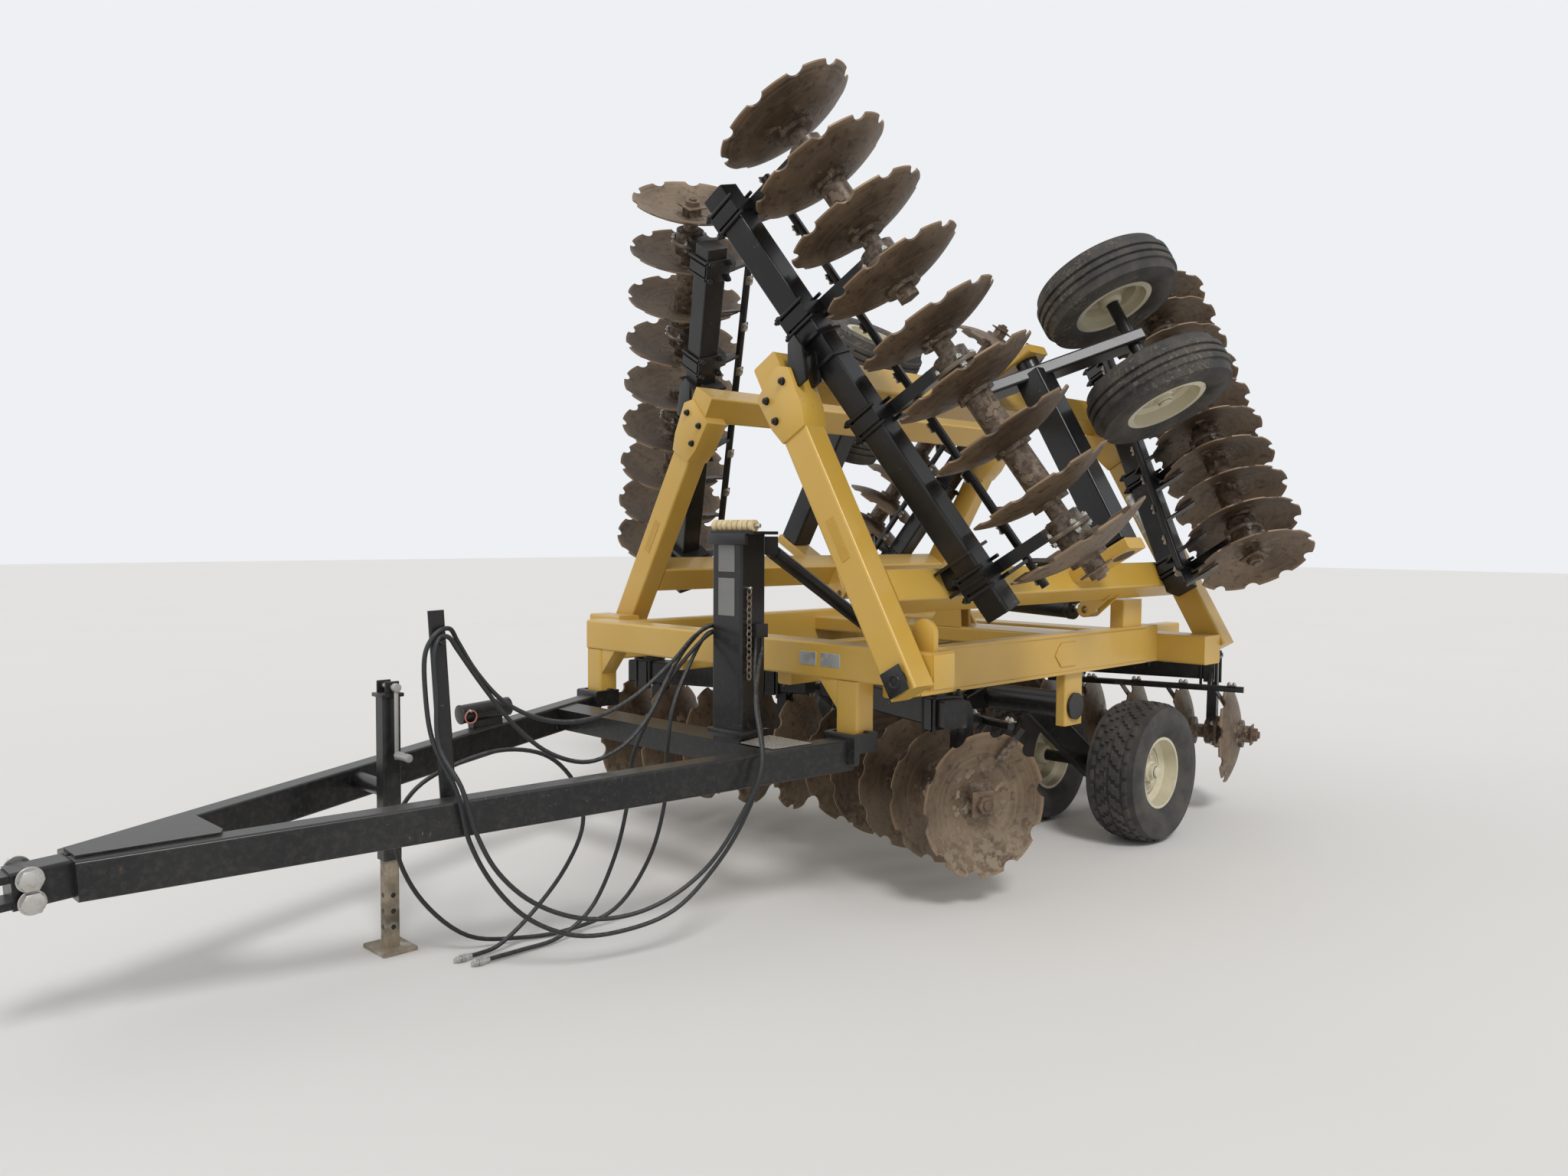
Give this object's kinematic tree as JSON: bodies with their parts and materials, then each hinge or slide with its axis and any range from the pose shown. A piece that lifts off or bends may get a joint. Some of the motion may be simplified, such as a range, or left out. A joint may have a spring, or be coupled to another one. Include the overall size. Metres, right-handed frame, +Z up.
{
  "type": "folding disc harrow",
  "caption": "Towed tandem disc harrow with folding wings: yellow frame, black gang beams, notched dished discs, twin transport wheels, tongue with jack.",
  "frame": {"origin": "middle of the bounding box on the ground, wings folded", "axes": "+Z up, +X to the machine's left, +Y to the rear, the hitch towards -Y"},
  "size_m": [4.0228, 6.9186, 3.7013],
  "materials": {
    "black": "gloss black paint",
    "disc": "weathered brown steel",
    "foot": "worn steel",
    "frame": "gloss paint",
    "hose": "satin rubber",
    "rim": "cream paint",
    "rod": "bright rod",
    "tyre": "matt rubber"
  },
  "bodies": {
    "frame": {"front_beam": "frame", "front_legs": "frame", "side_beams": "frame", "rear_beam": "frame", "inner_rails": "frame", "fold_anchor": "frame", "front_gang_frames": "black", "rear_gang_frames": "black"},
    "tongue": {"tongue_beams": "black", "tongue_crossbar": "black", "hitch_clevis": "black", "mast": "black", "tongue_fittings": "black", "hose_upper": "hose", "hose_lower": "hose", "hose_short": "hose", "hose_looped": "hose", "hose_couplers": "hose"},
    "jack": {"jack_tube": "black"},
    "jack_foot": {"jack_leg": "foot"},
    "level_link": {"level_link": "black"},
    "rockshaft": {"rockshaft": "black"},
    "main_wheels_left": {"main_tyres_left": "tyre", "main_rims_left": "rim"},
    "wing_left": {"wing_cross_tubes_left": "frame", "wing_rails_left": "frame", "wing_gang_frames_left": "black"},
    "wing_rockshaft_left": {"wing_rockshaft_left": "black"},
    "wing_wheels_left": {"wing_tyres_left": "tyre", "wing_rims_left": "rim"},
    "fold_barrel_left": {"fold_barrel_left": "black"},
    "fold_rod_left": {"fold_rod_left": "rod"},
    "centre_front_discs_left": {"centre_front_discs_left": "disc"},
    "centre_rear_discs_left": {"centre_rear_discs_left": "disc"},
    "wing_front_inner_discs_left": {"wing_front_inner_discs_left": "disc"},
    "wing_front_outer_discs_left": {"wing_front_outer_discs_left": "disc"},
    "wing_rear_discs_left": {"wing_rear_discs_left": "disc"},
    "main_wheels_right": {"main_tyres_right": "tyre", "main_rims_right": "rim"},
    "wing_right": {"wing_cross_tubes_right": "frame", "wing_rails_right": "frame", "wing_gang_frames_right": "black"},
    "wing_rockshaft_right": {"wing_rockshaft_right": "black"},
    "wing_wheels_right": {"wing_tyres_right": "tyre", "wing_rims_right": "rim"},
    "fold_barrel_right": {"fold_barrel_right": "black"},
    "fold_rod_right": {"fold_rod_right": "rod"},
    "centre_front_discs_right": {"centre_front_discs_right": "disc"},
    "centre_rear_discs_right": {"centre_rear_discs_right": "disc"},
    "wing_front_inner_discs_right": {"wing_front_inner_discs_right": "disc"},
    "wing_front_outer_discs_right": {"wing_front_outer_discs_right": "disc"},
    "wing_rear_discs_right": {"wing_rear_discs_right": "disc"}
  },
  "joints": [
    {"name": "rockshaft_lift", "type": "hinge", "parent": "frame", "child": "rockshaft", "pos_m": [0, 1.2614, 0.8], "axis": [1, 0, 0], "range_deg": [0, 15]},
    {"name": "tongue_tilt", "type": "hinge", "parent": "frame", "child": "tongue", "pos_m": [0, -0.2826, 0.818], "axis": [1, 0, 0], "range_deg": [-3.2, 0]},
    {"name": "level_link_swing", "type": "hinge", "parent": "tongue", "child": "level_link", "pos_m": [0.53, -0.4486, 1.64], "axis": [1, 0, 0], "range_deg": [0, 1.1]},
    {"name": "jack_swing", "type": "hinge", "parent": "tongue", "child": "jack", "pos_m": [-0.104, -1.9386, 0.65], "axis": [1, 0, 0], "range_deg": [0, 90]},
    {"name": "jack_slide", "type": "slide", "parent": "jack", "child": "jack_foot", "axis": [0, 0, 1], "range_m": [0, 0.35]},
    {"name": "main_wheels_spin_left", "type": "hinge", "parent": "rockshaft", "child": "main_wheels_left", "pos_m": [0.8175, 1.8724, 0.387], "axis": [1, 0, 0], "continuous": true},
    {"name": "wing_fold_left", "type": "hinge", "parent": "frame", "child": "wing_left", "pos_m": [1.33, 0.9784, 1.1], "axis": [0, 1, 0], "range_deg": [0, 120]},
    {"name": "wing_rockshaft_lift_left", "type": "hinge", "parent": "wing_left", "child": "wing_rockshaft_left", "pos_m": [1.13945, 1.1284, 2.11004], "axis": [-0.5, 0, 0.866], "range_deg": [0, 15]},
    {"name": "wing_wheels_spin_left", "type": "hinge", "parent": "wing_rockshaft_left", "child": "wing_wheels_left", "pos_m": [1.24047, 1.5284, 2.71108], "axis": [-0.5, 0, 0.866], "continuous": true},
    {"name": "fold_barrel_swing_left", "type": "hinge", "parent": "frame", "child": "fold_barrel_left", "pos_m": [0.11, 1.5614, 1.33], "axis": [0, -1, 0], "range_deg": [0, 1.17]},
    {"name": "fold_rod_slide_left", "type": "slide", "parent": "fold_barrel_left", "child": "fold_rod_left", "axis": [0.999, 0, -0.0449], "range_m": [0, 0.6601]},
    {"name": "centre_front_gang_turn_left", "type": "hinge", "parent": "frame", "child": "centre_front_discs_left", "pos_m": [0.67899, 0.40602, 0.478], "axis": [0.9511, -0.309, 0], "continuous": true},
    {"name": "centre_rear_gang_turn_left", "type": "hinge", "parent": "frame", "child": "centre_rear_discs_left", "pos_m": [0.72519, 2.76791, 0.478], "axis": [0.9613, 0.2756, 0], "continuous": true},
    {"name": "wing_front_inner_gang_turn_left", "type": "hinge", "parent": "wing_left", "child": "wing_front_inner_discs_left", "pos_m": [1.22673, -0.09155, 2.52287], "axis": [-0.4755, -0.309, 0.8236], "continuous": true},
    {"name": "wing_front_outer_gang_turn_left", "type": "hinge", "parent": "wing_left", "child": "wing_front_outer_discs_left", "pos_m": [1.22673, -0.09155, 2.52287], "axis": [-0.4755, -0.309, 0.8236], "continuous": true},
    {"name": "wing_rear_gang_turn_left", "type": "hinge", "parent": "wing_left", "child": "wing_rear_discs_left", "pos_m": [1.21122, 2.34591, 2.39073], "axis": [-0.4806, 0.2756, 0.8325], "continuous": true},
    {"name": "main_wheels_spin_right", "type": "hinge", "parent": "rockshaft", "child": "main_wheels_right", "pos_m": [-0.8175, 1.8724, 0.387], "axis": [1, 0, 0], "continuous": true},
    {"name": "wing_fold_right", "type": "hinge", "parent": "frame", "child": "wing_right", "pos_m": [-1.33, 1.5684, 1.1], "axis": [0, -1, 0], "range_deg": [0, 120]},
    {"name": "wing_rockshaft_lift_right", "type": "hinge", "parent": "wing_right", "child": "wing_rockshaft_right", "pos_m": [-1.13945, 1.7184, 2.11004], "axis": [-0.5, 0, -0.866], "range_deg": [0, 15]},
    {"name": "wing_wheels_spin_right", "type": "hinge", "parent": "wing_rockshaft_right", "child": "wing_wheels_right", "pos_m": [-1.24047, 2.1184, 2.71108], "axis": [-0.5, 0, -0.866], "continuous": true},
    {"name": "fold_barrel_swing_right", "type": "hinge", "parent": "frame", "child": "fold_barrel_right", "pos_m": [-0.11, 1.7814, 1.33], "axis": [0, 1, 0], "range_deg": [0, 1.17]},
    {"name": "fold_rod_slide_right", "type": "slide", "parent": "fold_barrel_right", "child": "fold_rod_right", "axis": [-0.999, 0, -0.0449], "range_m": [0, 0.6601]},
    {"name": "centre_front_gang_turn_right", "type": "hinge", "parent": "frame", "child": "centre_front_discs_right", "pos_m": [-0.67899, 0.40602, 0.478], "axis": [-0.9511, -0.309, 0], "continuous": true},
    {"name": "centre_rear_gang_turn_right", "type": "hinge", "parent": "frame", "child": "centre_rear_discs_right", "pos_m": [-0.72519, 2.76791, 0.478], "axis": [-0.9613, 0.2756, 0], "continuous": true},
    {"name": "wing_front_inner_gang_turn_right", "type": "hinge", "parent": "wing_right", "child": "wing_front_inner_discs_right", "pos_m": [-1.22673, 0.49845, 2.52287], "axis": [0.4755, -0.309, 0.8236], "continuous": true},
    {"name": "wing_front_outer_gang_turn_right", "type": "hinge", "parent": "wing_right", "child": "wing_front_outer_discs_right", "pos_m": [-1.22673, 0.49845, 2.52287], "axis": [0.4755, -0.309, 0.8236], "continuous": true},
    {"name": "wing_rear_gang_turn_right", "type": "hinge", "parent": "wing_right", "child": "wing_rear_discs_right", "pos_m": [-1.21122, 2.93591, 2.39073], "axis": [0.4806, 0.2756, 0.8325], "continuous": true}
  ],
  "couplings": [
    {"joint": "tongue_tilt", "follows": "rockshaft_lift", "ratio": -0.21},
    {"joint": "level_link_swing", "follows": "rockshaft_lift", "ratio": 0.0667},
    {"joint": "wing_rockshaft_lift_left", "follows": "rockshaft_lift", "ratio": 1},
    {"joint": "fold_barrel_swing_left", "follows": "wing_fold_left", "ratio": 0.009365},
    {"joint": "fold_rod_slide_left", "follows": "wing_fold_left", "m_per_rad": 0.31472},
    {"joint": "wing_rockshaft_lift_right", "follows": "rockshaft_lift", "ratio": 1},
    {"joint": "fold_barrel_swing_right", "follows": "wing_fold_right", "ratio": 0.009365},
    {"joint": "fold_rod_slide_right", "follows": "wing_fold_right", "m_per_rad": 0.31472}
  ]
}
